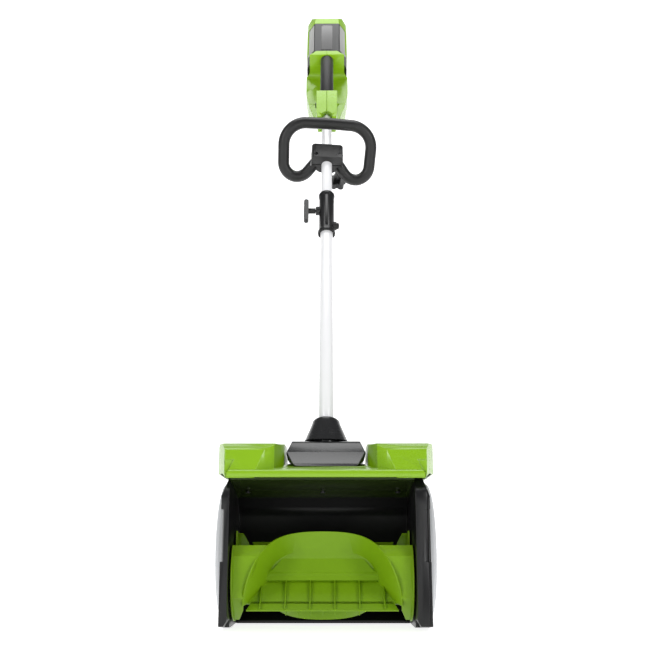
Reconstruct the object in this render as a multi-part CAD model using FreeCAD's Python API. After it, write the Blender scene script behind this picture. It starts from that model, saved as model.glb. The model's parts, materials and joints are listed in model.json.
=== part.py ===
import FreeCAD, Part
import math
import os

V = FreeCAD.Vector

# A cordless snow shovel: a driven rotor in a hooded head on two wheels, with a leaning two-part
# shaft, a loop handle clamped to it, and a battery-powered rear handle. Millimetres, +Z up.
# Drawing datum: X = 0 is the middle plane, Y = 0 the mouth's front edge with +Y to the back, and
# Z = 0 the lower front corner of the cheeks. save() sets the finished pieces down so that the
# origin lies under the middle of the scraper, on the ground.

# ---- head ----
cheek_outer = 157.0          # outer face of each side cheek from the middle plane
left_inner = -145.0          # inner wall of the left cheek
right_inner = 135.0          # inner wall of the right cheek, set in to leave room for the belt
skin = 4.0                   # wall of the moulded shells
gap = 0.5                    # clearance between seated mouldings
ground = -6.0                # the ground, below the cheeks' front corner
head_back = 240.0            # rear wall of the head
cheek_top = 213.0            # top edge of the cheeks at the mouth
roof_front = 227.0           # top of the lip at the mouth
roof_middle = 246.0          # flat top of the hood under the motor cover
lobe_top = 278.0             # top of the two raised lobes
lobe_outer = 171.0           # outer side of the lobes, which overhang the wheels
lobe_inner = 68.0            # side of the lobes next to the motor cover
ceiling_drop = 12.0          # fall of the ceiling from the mouth to its screws
ceiling_screw_y = 85.0
left_facet = (5.0, 18.0)      # width and depth of the facet on the left cheek's front edge
right_facet = (14.0, 4.5)     # the same on the right, shallower than the cheek's front wall
scraper_y = 150.0            # middle of the scraper's bottom face
scraper_depth = 22.0
scraper_height = 18.0

# ---- rotor ----
rotor_y = 80.0
rotor_z = 70.0
rotor_radius = 68.0
rotor_clearance = 3.0        # rotor to each cheek
rotor_wall = 2.4
rotor_hub_radius = 11.0
rotor_shaft_radius = 6.0
panel_a = 4.0                # front face of a bucket's panel, forward of the axis
panel_foot = -7.0            # foot of that panel, below the axis
lip_a = 46.0                 # digging lip, forward of the axis
lip_b = -49.0                # digging lip, below the axis
lip_half = 119.5             # half length of the lip
moon_half = 83.5             # half width of the panel's half-moon
moon_top = 38.5              # top of the half-moon above the axis
rim_start_deg = 78.0         # angle of the rim's highest point on the envelope
rim_end_deg = -46.8          # angle of the rim's ends, at the lip
rim_power = 1.85
rim_stop = 0.94              # where the flared wall stops, just short of the lip
moon_share = 0.664           # share of the rim that the half-moon's curve takes
major_rib_pitch = 37.6
lip_bar_height = 12.0        # how far the bar along the lip reaches up the digging panel
rib_thick = 1.6
disc_thick = 2.4
disc_notch = 46.0              # height of the notch in each end disc above the axis

# ---- drive ----
motor_y = 197.0
motor_z = 190.0
motor_radius = 31.0
motor_length = 88.0
motor_shaft_radius = 4.0
motor_pulley_radius = 12.0
rotor_pulley_radius = 36.0
belt_width = 9.0
belt_thick = 2.6
belt_x = 146.0               # middle of the belt's width
bearing_outer = 14.0
bearing_width = 8.0
running_fit = 0.05

# ---- wheels ----
wheel_radius = 112.0
wheel_width = 15.5
wheel_y = 193.0
wheel_gap = 3.0              # cheek to wheel
axle_radius = 8.0

# ---- motor cover and shaft socket ----
cover_half = 65.0
cover_top = 287.0
socket_base_radius = 36.5
socket_top_radius = 24.0
socket_drop = 12.0           # top of the boot, below the shaft's drawing point
socket_y = 152.0             # middle of the boot's base
crown_height = 6.0           # the rounded top of the boot
column_radius = 19.0
bolt_drop = -30.0            # bolt through the boot and the shaft
bolt_half = 24.0

# ---- shaft, drawn upright and then leaned back about its foot ----
shaft_foot = V(0, 159, 331)
shaft_lean_deg = 22.0
lower_tube_radius = 12.7
upper_tube_radius = 11.1
tube_wall = 1.6
tube_clearance = 0.15
sleeve_radius = 15.0
socket_depth = 58.0
split_z = 486.0              # the lower tube's top end, inside the sleeve
sleeve_bottom = split_z - 72
sleeve_top = split_z + 35
clamp_knob_z = split_z - 9
release_z = split_z - 50

# ---- loop handle ----
loop_z = 627.0               # middle of its boss along the shaft
loop_half = 93.0
loop_radius = 12.0
loop_rise = 70.0
loop_drop = 37.0
loop_lean_deg = 46.8         # the loop's plane against the shaft
loop_turn_deg = 5.0          # the handle is clamped a little turned about the shaft
boss_half = 33.0
boss_height = 38.0
bolt_x = 27.0                # clamp bolt, from the shaft
bolt_z = loop_z - 11
knob_y = 47.0                # the knob stands behind the loop's lobes
knob_thick = 14.0

# ---- rear handle ----
rear_start = 722.0
neck_half = 23.0
neck_top = rear_start + 90
upper_tube_top = rear_start + 84
grip_radius = 14.5
grip_y = -12.0
grip_end = neck_top + 140
grip_core_radius = 10.5
trigger_pin_y = -3.0
trigger_pin_z = neck_top + 72
trigger_pin_radius = 1.5
pin_half = 9.5
lock_y = -2.0
lock_z = rear_start + 72
lock_radius = 5.5
housing_screw_z = (neck_top + 64, neck_top + 104)
body_half = 47.0
body_near = 34.0             # near face of the lower body, which leaves the hand gap
body_far = 76.0
battery_start = grip_end + 6
crown_half = 17.0             # half width of the rear handle's flat top
skirt = 27.0                  # how far the battery's skirts come down beside the crown
rail_width = 6.0              # green side rails on the battery
battery_length = 112.0
cell_pitch = 14.4
cell_radius = 7.1
battery_cap = 34.0
battery_near = -16.0
battery_far = 66.0


def box(x0, x1, y0, y1, z0, z1):
    """A box between two corners."""
    return Part.makeBox(x1 - x0, y1 - y0, z1 - z0, V(x0, y0, z0))


def rod(start, along, radius, length):
    """A round bar from a point along a direction."""
    return Part.makeCylinder(radius, length, start, along)


def rod_x(y, z, radius, x0, x1):
    """A round bar along X."""
    return rod(V(x0, y, z), V(1, 0, 0), radius, x1 - x0)


def ring_x(y, z, outer, inner, x0, x1):
    """A ring about a line along X."""
    return rod_x(y, z, outer, x0, x1).cut(rod_x(y, z, inner, x0 - 1, x1 + 1))


def ring(x, y, outer, inner, z0, z1):
    """A ring about a line along Z."""
    solid = rod(V(x, y, z0), V(0, 0, 1), outer, z1 - z0)
    return solid.cut(rod(V(x, y, z0 - 1), V(0, 0, 1), inner, z1 - z0 + 2))


def rounded(points, radii, closed=True):
    """A wire of straight runs whose corners are tangent arcs; a radius of 0 keeps a corner sharp."""
    count = len(points)
    starts = []
    for i in range(count):
        here = points[i]
        if not closed and i in (0, count - 1) or radii[i] <= 0:
            starts.append((here, None, here))
            continue
        before = points[i - 1] - here
        after = points[(i + 1) % count] - here
        half = before.getAngle(after) / 2
        reach = radii[i] / math.tan(half)
        before.normalize()
        after.normalize()
        toward = before + after
        toward.normalize()
        middle = here + toward * (radii[i] / math.sin(half) - radii[i])
        starts.append((here + before * reach, middle, here + after * reach))
    edges = []
    for i, (first, middle, last) in enumerate(starts):
        if middle is not None:
            edges.append(Part.Arc(first, middle, last).toShape())
        if i + 1 < count or closed:
            following = starts[(i + 1) % count][0]
            if (following - last).Length > 0.001:
                edges.append(Part.LineSegment(last, following).toShape())
    return Part.Wire(edges)


def prism_x(outline, radii, x0, x1):
    """Points (y, z) with rounded corners, extruded along X."""
    wire = rounded([V(x0, y, z) for y, z in outline], radii)
    return Part.Face(wire).extrude(V(x1 - x0, 0, 0))


def prism_y(outline, radii, y0, y1):
    """Points (x, z) with rounded corners, extruded along Y."""
    wire = rounded([V(x, y0, z) for x, z in outline], radii)
    return Part.Face(wire).extrude(V(0, y1 - y0, 0))


def prism_z(outline, radii, z0, z1):
    """Points (x, y) with rounded corners, extruded along Z."""
    wire = rounded([V(x, y, z0) for x, y in outline], radii)
    return Part.Face(wire).extrude(V(0, 0, z1 - z0))


def turned(outline, start, along):
    """Points (radius, height) turned about a line from a point along a direction."""
    wire = Part.makePolygon([V(r, 0, h) for r, h in outline + outline[:1]])
    solid = Part.Face(wire).revolve(V(0, 0, 0), V(0, 0, 1), 360)
    solid.Placement = FreeCAD.Placement(start, FreeCAD.Rotation(V(0, 0, 1), along))
    return solid


def screw(start, along, radius, length, head_radius, head_height):
    """A pan-head screw: its shank runs from start along the direction, its head stands behind."""
    shank = rod(start, along, radius, length)
    head = rod(start - along * head_height, along, head_radius, head_height)
    slot = rod(start - along * (head_height + 1), along, head_radius * 0.35, head_height * 0.5 + 1)
    return shank.fuse(head).cut(slot).removeSplitter()


def fused(shapes):
    """One solid from several that meet."""
    return shapes[0].multiFuse(shapes[1:]).removeSplitter()


def lean_placement():
    """From the upright shaft's frame to the head's."""
    return FreeCAD.Placement(shaft_foot, FreeCAD.Rotation(V(1, 0, 0), -shaft_lean_deg))


def leaned(shape):
    """Sets a piece drawn about an upright shaft onto the leaning one."""
    done = shape.copy()
    done.Placement = lean_placement().multiply(shape.Placement)
    return done


def save(name, shape):
    """Writes one piece with the origin under the scraper, on the ground."""
    done = shape.copy()
    done.translate(V(0, -scraper_y, -ground))
    if not done.isValid() or not done.Solids:
        print("CHECK", name, "valid", done.isValid(), "solids", len(done.Solids))
    if done.ShapeType == "Compound" and len(done.Solids) == 1:
        done = done.Solids[0]
    os.makedirs("parts", exist_ok=True)
    done.exportStep("parts/" + name + ".step")


# ---------------------------------------------------------------- cheeks and scraper

cheek_outline = [(0, 0), (0, 196), (30, cheek_top + 8), (head_back, cheek_top + 8),
                 (head_back + 6, 60), (head_back - 26, ground), (60, ground)]
cheek_radii = [3, 24, 26, 30, 70, 26, 90]


def cheek_block(x0, x1, inset=0.0):
    """The side cheek's full outline between two planes, with its upper outer edge bevelled."""
    block = prism_x(cheek_outline, cheek_radii, x0, x1)
    if inset:
        small = prism_x(cheek_outline, cheek_radii, x0, x1)
        middle = small.BoundBox.Center
        matrix = FreeCAD.Matrix()
        matrix.move(V(0, -middle.y, -middle.z))
        matrix.scale(1, 1 - 2 * inset / small.BoundBox.YLength, 1 - 2 * inset / small.BoundBox.ZLength)
        matrix.move(V(0, middle.y, middle.z))
        block = small.transformGeometry(matrix)
    return block


def edge_bevel(side):
    """What the bevel along a cheek's upper outer edge takes away."""
    outer = side * (cheek_outer + 20)
    points = [(side * (cheek_outer + 0.5), 186), (side * (cheek_outer - 11), cheek_top + 12),
              (outer, cheek_top + 12), (outer, 186)]
    return prism_y(points, [0] * 4, -20, head_back + 30)


def front_facet(side, depth, back):
    """The flat facet along a cheek's front outer edge."""
    points = [(side * (cheek_outer - depth), -1), (side * (cheek_outer + 1), back),
              (side * (cheek_outer + 1), -1)]
    return prism_z(points, [0] * 3, 92, 168)


def lower_bevel(inner, outer):
    """What the slope under a cheek's inner front edge takes away."""
    step = 9 if outer > inner else -9
    points = [(inner - step, -7), (inner - step, 8), (inner, 8), (inner + step, -7)]
    return prism_y(points, [0] * 4, -2, 40)


def cheeks():
    left = cheek_block(-cheek_outer, left_inner)
    dish = cheek_block(-cheek_outer - 1, left_inner - skin, inset=12)
    left = left.cut(dish)
    left = left.cut(edge_bevel(-1)).cut(front_facet(-1, *left_facet))
    left = left.cut(lower_bevel(left_inner, -cheek_outer))
    hub = rod_x(wheel_y, wheel_radius + ground, 22, -cheek_outer, left_inner)
    seat = rod_x(rotor_y, rotor_z, bearing_outer + 5, -cheek_outer + 1, left_inner)
    left = fused([left, hub, seat])
    left = left.cut(rod_x(wheel_y, wheel_radius + ground, axle_radius, -200, 0))
    left = left.cut(rod_x(rotor_y, rotor_z, bearing_outer, left_inner - bearing_width, 0))
    save("left_cheek", left)

    wall = right_inner + skin
    right = cheek_block(right_inner, wall)
    rim = cheek_block(wall, cheek_outer - skin).cut(cheek_block(wall - 1, cheek_outer, inset=5))
    right = fused([right, rim])
    right = right.cut(edge_bevel(1)).cut(front_facet(1, *right_facet))
    right = right.cut(lower_bevel(right_inner, cheek_outer))
    hub = rod_x(wheel_y, wheel_radius + ground, 22, wall - 1, cheek_outer - skin)
    seat = rod_x(rotor_y, rotor_z, bearing_outer + 4, wall - 1, wall + 2)
    right = fused([right, hub, seat])
    right = right.cut(rod_x(wheel_y, wheel_radius + ground, axle_radius, 0, 200))
    right = right.cut(rod_x(rotor_y, rotor_z, bearing_outer, right_inner - 1, wall + 2))
    right = right.cut(rod_x(rotor_y, rotor_z, rotor_shaft_radius + 3, 0, 200))
    right = right.cut(rod_x(motor_y, motor_z, motor_shaft_radius + 3, 0, 200))
    save("right_cheek", right)

    cover = cheek_block(cheek_outer - skin + gap, cheek_outer)
    cover = cover.cut(edge_bevel(1)).cut(front_facet(1, *right_facet))
    cover = cover.cut(rod_x(wheel_y, wheel_radius + ground, axle_radius, 0, 200))
    places = [(30, 30), (30, 180), (110, 14), (225, 40), (226, 190), (130, 207)]
    for y, z in places:
        cover = cover.cut(rod_x(y, z, 1.8, 100, 200))
    save("belt_cover", cover)
    heads = [screw(V(cheek_outer, y, z), V(-1, 0, 0), 1.6, 2.5, 3.4, 1.8) for y, z in places]
    save("belt_cover_screws", Part.makeCompound(heads))


def scraper():
    low = ground
    points = [(scraper_y - scraper_depth / 2, low), (scraper_y - scraper_depth / 2, low + 5),
              (scraper_y + 3, low + scraper_height), (scraper_y + scraper_depth / 2, low + scraper_height),
              (scraper_y + scraper_depth / 2, low)]
    bar = prism_x(points, [0, 0, 0, 0, 0], left_inner + gap, right_inner - gap)
    save("scraper_bar", bar)


# ---------------------------------------------------------------- hood, ceiling and scroll

roof_line = [(0, cheek_top + 3), (0, roof_front), (70, 237), (118, roof_middle), (214, roof_middle),
             (head_back - 2, 224), (head_back - 2, cheek_top + 10), (60, cheek_top + 10)]


def lobe(side, inset=0.0):
    """One raised lobe of the hood; an inset gives the space inside it."""
    i = inset
    open_below = 4 * (i > 0)
    foot = cheek_top + 12 - 0.75 * open_below
    points = [(2 + 2 * i, cheek_top + 3 - open_below), (3 + 2 * i, roof_front - i), (15 + i, 247 - i),
              (60, 263 - i), (112, lobe_top - i), (190, lobe_top + 2 - i), (226 - i, 262 - i),
              (head_back - i, 232), (head_back - i, foot), (40, foot)]
    near = side * (lobe_inner + i)
    far = side * (lobe_outer - i)
    block = prism_x(points, [0, 2, 8, 26, 30, 26, 16, 14, 0, 0], min(near, far), max(near, far))
    corner = side * (lobe_outer + 1 - i)
    bevel = [(side * (lobe_outer - 18 - i), lobe_top + 4), (corner, 262 - i), (corner, lobe_top + 4)]
    block = block.cut(prism_y(bevel, [0] * 3, -20, 300))
    taper = [(side * (152 - i), -5), (side * (152 - i), 0), (corner, 74), (side * 220, 74), (side * 220, -5)]
    block = block.cut(prism_z(taper, [0] * 5, 150, 300))
    wall = lobe_inner + i
    facet = [(side * (lobe_inner - 1), -5), (side * (lobe_inner + 44), -5), (side * (wall + 40), 2 + i),
             (side * (wall + 12), 26 + i), (side * wall, 84), (side * (lobe_inner - 1), 84)]
    block = block.cut(prism_z(facet, [0] * 6, 200, 300))
    return block


def wheel_room(side):
    """The space that a wheel and its clearance take."""
    near = side * (cheek_outer + 0.8)
    far = side * 260
    return rod_x(wheel_y, wheel_radius + ground, wheel_radius + 7, min(near, far), max(near, far))


def hood():
    half = 151.0
    roof = prism_x(roof_line, [0, 5, 30, 20, 20, 0, 0, 0], -half, half)
    under = roof_middle - skin
    inside = [(skin, cheek_top), (skin, roof_front - skin), (70, 233), (118, under), (214, under),
              (head_back - 2 - skin, 222), (head_back - 2 - skin, cheek_top)]
    roof = roof.cut(prism_x(inside, [0] * 7, -half + 3, half - 3))
    shell = fused([roof, lobe(-1), lobe(1)])
    for side in (-1, 1):
        shell = shell.cut(lobe(side, inset=3.2))
        shell = shell.cut(wheel_room(side))
    corner = [(-half - 1, 221), (-141, 236), (-180, 236), (-180, 221)]
    for side in (-1, 1):
        points = [(-side * x, z) for x, z in corner]
        shell = shell.cut(prism_y(points, [0] * 4, -5, 10))
    shell = shell.cut(cheek_block(left_inner - 40, left_inner + gap))
    shell = shell.cut(cheek_block(right_inner - gap, right_inner + 40))
    pieces = sorted(shell.Solids, key=lambda s: -s.Volume)
    save("hood_shell", pieces[0])

    back = [(head_back - 5, cheek_top + 9), (head_back, cheek_top + 9), (head_back, 70),
            (head_back - 22, ground + 8), (scraper_y + scraper_depth / 2 + gap, ground + 2),
            (scraper_y + scraper_depth / 2 + gap, ground + 6), (head_back - 25, ground + 12),
            (head_back - 5, 72)]
    panel = prism_x(back, [0, 0, 60, 20, 0, 0, 16, 55], left_inner + gap, right_inner - gap)
    save("rear_panel", panel)


def ceiling():
    near = cheek_top - 0.5
    far = near - ceiling_drop
    points = [(2, near + 3), (2, near), (ceiling_screw_y, far), (118, far - 9), (118, far - 6),
              (ceiling_screw_y, far + 3)]
    panel = prism_x(points, [0, 0, 60, 0, 0, 60], left_inner + gap, right_inner - gap)
    screws = []
    middle = (left_inner + right_inner) / 2
    for x in (-120, 0, 120):
        start = V(middle + x, ceiling_screw_y, far - 1.5)
        panel = panel.cut(rod(start - V(0, 0, 5), V(0, 0, 1), 2.0, 20))
        screws.append(screw(start, V(0, 0, 1), 1.8, 9, 4.0, 2.2))
    save("ceiling_panel", panel)
    save("ceiling_screws", Part.makeCompound(screws))


def scroll():
    """The black guide behind the rotor, from the ceiling down to the scraper."""
    top = cheek_top - ceiling_drop
    face = [(118.6, top - 7), (150, 172), (163, 120), (163, 60), (scraper_y + 2, ground + scraper_height)]
    rear = [(scraper_y + 8, ground + scraper_height), (167, 60), (167, 121), (153, 176), (118.6, top - 3)]
    guide = prism_x(face + rear, [0, 30, 50, 60, 0, 0, 60, 50, 30, 0], left_inner + gap, right_inner - gap)
    save("scroll_guide", guide)


# ---------------------------------------------------------------- rotor

def moon_point(share):
    """A point (half width, forward, up) on the panel's half-moon and then down its lower sides."""
    if share <= moon_share:
        angle = math.radians(90 * (1 - math.sqrt(share / moon_share)))
        wide = moon_half * math.cos(angle) ** 0.8
        up = panel_foot + (moon_top - panel_foot) * math.sin(angle) ** 0.8
        return wide, panel_a, up
    rest = (share - moon_share) / (1 - moon_share)
    wide = moon_half + (lip_half - moon_half) * rest
    return wide, panel_a + (lip_a - panel_a) * rest * 0.97, panel_foot + (lip_b - panel_foot) * rest * 0.97


def rim_point(share):
    """A point (half width, forward, up) on the bucket's rim, which lies on the envelope."""
    angle = rim_start_deg + (rim_end_deg - rim_start_deg) * share
    fall = (angle - rim_end_deg) / (rim_start_deg - rim_end_deg)
    wide = lip_half * math.sqrt(max(0.0, 1 - fall ** rim_power))
    turn = math.radians(angle)
    return wide, rotor_radius * math.cos(turn), rotor_radius * math.sin(turn)


rotor_middle = (left_inner + right_inner) / 2
rotor_half = (right_inner - left_inner) / 2 - rotor_clearance


def in_head(side, point):
    """A rotor point (half width, forward, up) as a place in the head."""
    wide, forward, up = point
    return V(rotor_middle + side * wide, rotor_y - forward, rotor_z + up)


def scoop():
    """One bucket as a thick shell: flat half-moon panel, sloping digging panel and flared wall."""
    steps = 13
    shares = [moon_share * i / steps for i in range(steps)]
    shares = [moon_share * (s / moon_share) ** 1.6 for s in shares] + [moon_share, 0.76, 0.86, rim_stop]
    sides = [(-1, s) for s in reversed(shares)] + [(1, s) for s in shares[1:]]
    inner = [in_head(side, moon_point(s)) for side, s in sides]
    rim = [in_head(side, rim_point(s)) for side, s in sides]
    last = len(sides) - 1
    middle = V(rotor_middle, rotor_y - 40, rotor_z - 10)
    slope = V(0, 1, -1)
    slope.normalize()
    far_inner = []
    far_rim = []
    for i, (side, share) in enumerate(sides):
        before = max(i - 1, 0)
        after = min(i + 1, last)
        along = inner[after] - inner[before] + rim[after] - rim[before]
        normal = along.cross(rim[i] - inner[i])
        normal.normalize()
        if normal.dot(rim[i] - middle) < 0:
            normal = normal * -1
        far_rim.append(rim[i] + normal * rotor_wall)
        back = V(inner[i].x + normal.x * rotor_wall, inner[i].y, inner[i].z)
        if share > moon_share + 0.001:
            back = back + slope * rotor_wall
        elif share > moon_share - 0.001:
            back = back + V(0, rotor_wall, (1 - math.sqrt(2)) * rotor_wall)
        else:
            back = back + V(0, rotor_wall, normal.z * rotor_wall)
        far_inner.append(back)
    lower = 3
    loops = [inner, rim, far_rim, far_inner]
    faces = []
    for i in range(last):
        for k in range(3):
            a, b = loops[k], loops[k + 1]
            faces.append([a[i], b[i], b[i + 1]])
            faces.append([a[i], b[i + 1], a[i + 1]])
    for row in (inner, far_inner):
        faces.append(row[lower:last + 1 - lower])
        faces.append(row[:lower + 1] + row[last - lower:])
    for i in (0, last):
        faces.append([inner[i], rim[i], far_rim[i]])
        faces.append([inner[i], far_rim[i], far_inner[i]])
    faces.append([inner[0], inner[last], far_inner[last]])
    faces.append([inner[0], far_inner[last], far_inner[0]])
    shell = Part.makeShell([Part.Face(Part.makePolygon(f + f[:1])) for f in faces])
    solid = Part.makeSolid(shell)
    if solid.Volume < 0:
        solid.reverse()
    return solid


def plate(outline, x0, x1):
    """A rotor plate across X: outline points are (forward, up) from the rotor's axis."""
    wire = Part.makePolygon([V(x0, rotor_y - a, rotor_z + b) for a, b in outline + outline[:1]])
    return Part.Face(wire).extrude(V(x1 - x0, 0, 0))


def rib_plates():
    """The ribs of one bucket: six on its digging panel and nine behind its half-moon panel."""
    pieces = []
    for k in (-2.5, -1.5, -0.5, 0.5, 1.5, 2.5):
        x = rotor_middle + k * major_rib_pitch
        rib = [(panel_a - 1, panel_foot - 1), (panel_a + 9, panel_foot),
               (lip_a + 1, lip_b + 5), (lip_a - 1, lip_b + 1)]
        pieces.append(plate(rib, x - rib_thick / 2, x + rib_thick / 2))
    for k in (-2, -1.5, -1, -0.5, 0, 0.5, 1, 1.5, 2):
        x = rotor_middle + k * major_rib_pitch
        top = moon_top + 20 if abs(k) < 1.8 else moon_top + 14
        knee = moon_top - 8 * (abs(k) > 1.2)
        rib = [(panel_a - 1, 4), (panel_a - 1, knee), (2, top), (-16, top), (-29, 36)]
        pieces.append(plate(rib, x - rib_thick / 2, x + rib_thick / 2))
    return pieces


def digging_trim():
    """The ledge that covers the hub over the digging ribs, and the bar along the lip."""
    wide = moon_half + 8
    ledge = [(panel_a - 0.5, panel_foot + 19), (panel_a + 8, panel_foot + 11), (panel_a + 9, panel_foot),
             (panel_a + 6, panel_foot), (panel_a - 0.5, panel_foot - 1)]
    back = rotor_wall / math.sqrt(2)
    top = (lip_a - lip_bar_height, lip_b + lip_bar_height)
    bar = [top, (lip_a, lip_b), (lip_a - back, lip_b - back), (top[0] - back, top[1] - back)]
    reach = lip_half - 5
    return [plate(ledge, rotor_middle - wide, rotor_middle + wide),
            plate(bar, rotor_middle - reach, rotor_middle + reach)]


def end_skins():
    """The faceted drum skin between the bucket and each end plate."""
    r = rotor_radius
    line = [(0.735 * r, 0.676 * r), (0.897 * r, 0.441 * r), (0.89 * r, -0.456 * r), (0.309 * r, -0.949 * r),
            (0.294 * r, -0.916 * r), (0.853 * r, -0.449 * r), (0.86 * r, 0.426 * r), (0.706 * r, 0.654 * r)]
    outline = [rim_point((i / 12) ** 1.5) for i in range(13)]
    outline.append((lip_half + 8, 0, 2 - r))
    ahead = rotor_y - r - 22
    points = [V(rotor_middle + w, ahead, rotor_z + b) for w, a, b in outline]
    mirror = [V(2 * rotor_middle - p.x, p.y, p.z) for p in reversed(points)]
    side = rotor_half - 10
    low = [V(rotor_middle + side, ahead, rotor_z - r - 22), V(rotor_middle - side, ahead, rotor_z - r - 22)]
    loop = points + low + mirror[:-1]
    pocket = Part.Face(Part.makePolygon(loop + loop[:1])).extrude(V(0, r + 18, 0))
    reach = rotor_half - disc_thick
    return plate(line, rotor_middle - reach, rotor_middle + reach).cut(pocket).Solids


def half_turned(shape):
    """A copy of a rotor piece half a turn further round."""
    other = shape.copy()
    other.rotate(V(0, rotor_y, rotor_z), V(1, 0, 0), 180)
    return other


def rotor():
    low = rotor_middle - rotor_half
    high = rotor_middle + rotor_half
    envelope = rod_x(rotor_y, rotor_z, rotor_radius, low + disc_thick, high - disc_thick)
    core = rod_x(rotor_y, rotor_z, rotor_hub_radius, low - 5, high + 5)
    front = fused([scoop()] + digging_trim()).common(envelope).cut(core)
    rear = half_turned(front)
    save("front_scoop", front)
    save("rear_scoop", rear)
    ribs = rib_plates()
    ribs = fused(ribs + [half_turned(rib) for rib in ribs]).common(envelope).cut(core)
    save("rotor_ribs", ribs.cut(front).cut(rear))
    skins = end_skins()
    skins = fused(skins + [half_turned(skin) for skin in skins]).common(envelope)
    skins = [skin for skin in skins.cut(front).cut(rear).Solids if skin.Volume > 1]
    save("rotor_skins", Part.makeCompound(skins))
    hub = ring_x(rotor_y, rotor_z, rotor_hub_radius, rotor_shaft_radius, low + disc_thick, high - disc_thick)
    save("rotor_hub", hub)
    for name, x in (("left_rotor_disc", low), ("right_rotor_disc", high - disc_thick)):
        disc = ring_x(rotor_y, rotor_z, rotor_radius, rotor_shaft_radius, x, x + disc_thick)
        for turn in (0, 180):
            notch = box(x - 1, x + disc_thick + 1, rotor_y - rotor_radius, rotor_y,
                        rotor_z + disc_notch, rotor_z + rotor_radius)
            notch.rotate(V(0, rotor_y, rotor_z), V(1, 0, 0), turn)
            disc = disc.cut(notch)
        save(name, disc)

    shaft_start = left_inner - bearing_width + 1
    save("rotor_shaft", rod_x(rotor_y, rotor_z, rotor_shaft_radius, shaft_start, belt_x + belt_width / 2))
    for name, x in (("left_bearing", left_inner - bearing_width), ("right_bearing", right_inner - 1)):
        width = bearing_width if name == "left_bearing" else 6.5
        inner = rotor_shaft_radius + running_fit
        save(name, ring_x(rotor_y, rotor_z, bearing_outer, inner, x, x + width))


# ---------------------------------------------------------------- motor, pulleys and belt

def drive():
    can = rod_x(motor_y, motor_z, motor_radius, -motor_length / 2, motor_length / 2)
    nose = rod_x(motor_y, motor_z, 13, motor_length / 2, motor_length / 2 + 7)
    tail = rod_x(motor_y, motor_z, 22, -motor_length / 2 - 6, -motor_length / 2)
    can = fused([can, nose, tail])
    can = can.cut(rod_x(motor_y, motor_z, motor_shaft_radius + running_fit, -30, 80))
    for i in range(8):
        angle = math.radians(45 * i)
        y = motor_y + 25 * math.cos(angle)
        z = motor_z + 25 * math.sin(angle)
        can = can.cut(rod_x(y, z, 3.2, -motor_length / 2 - 2, -motor_length / 2 + 12))
    save("motor", can)
    bracket = box(motor_length / 2 + 0.2, motor_length / 2 + 3.2, motor_y - 34, motor_y + 36,
                  motor_z - 34, motor_z + 30)
    bracket = bracket.cut(rod_x(motor_y, motor_z, 13 + running_fit, 0, 100))
    for y, z in ((-20, 0), (20, 0), (0, -20), (0, 20)):
        bracket = bracket.cut(rod_x(motor_y + y, motor_z + z, 2.2, 0, 100))
    save("motor_bracket", bracket)
    shaft = rod_x(motor_y, motor_z, motor_shaft_radius, -28, belt_x + belt_width / 2 + 1)
    save("motor_shaft", shaft)
    low = belt_x - belt_width / 2
    small = rod_x(motor_y, motor_z, motor_pulley_radius, low, low + belt_width)
    small = small.cut(rod_x(motor_y, motor_z, motor_shaft_radius, 0, 200))
    save("motor_pulley", small)
    large = rod_x(rotor_y, rotor_z, rotor_pulley_radius, low, low + belt_width)
    for i in range(6):
        angle = math.radians(60 * i)
        y = rotor_y + 22 * math.cos(angle)
        z = rotor_z + 22 * math.sin(angle)
        large = large.cut(rod_x(y, z, 6, 0, 200))
    large = large.cut(rod_x(rotor_y, rotor_z, rotor_shaft_radius, 0, 200))
    save("rotor_pulley", large)

    across = V(0, rotor_y - motor_y, rotor_z - motor_z)
    reach = across.Length
    lean = math.acos((rotor_pulley_radius - motor_pulley_radius) / reach)
    base = math.atan2(across.z, across.y)

    def loop(extra):
        ends = []
        for sign in (-1, 1):
            angle = base + sign * (math.pi - lean)
            for y, z, r in ((motor_y, motor_z, motor_pulley_radius), (rotor_y, rotor_z, rotor_pulley_radius)):
                ends.append(V(low, y + (r + extra) * math.cos(angle), z + (r + extra) * math.sin(angle)))
        a0, a1, b0, b1 = ends
        top = V(low, motor_y - (motor_pulley_radius + extra) * math.cos(base),
                motor_z - (motor_pulley_radius + extra) * math.sin(base))
        bottom = V(low, rotor_y + (rotor_pulley_radius + extra) * math.cos(base),
                   rotor_z + (rotor_pulley_radius + extra) * math.sin(base))
        edges = [Part.Arc(a0, top, b0).toShape(), Part.LineSegment(b0, b1).toShape(),
                 Part.Arc(b1, bottom, a1).toShape(), Part.LineSegment(a1, a0).toShape()]
        return Part.Face(Part.Wire(edges)).extrude(V(belt_width, 0, 0))

    save("drive_belt", loop(0.1 + belt_thick).cut(loop(0.1)))


# ---------------------------------------------------------------- wheels

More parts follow.
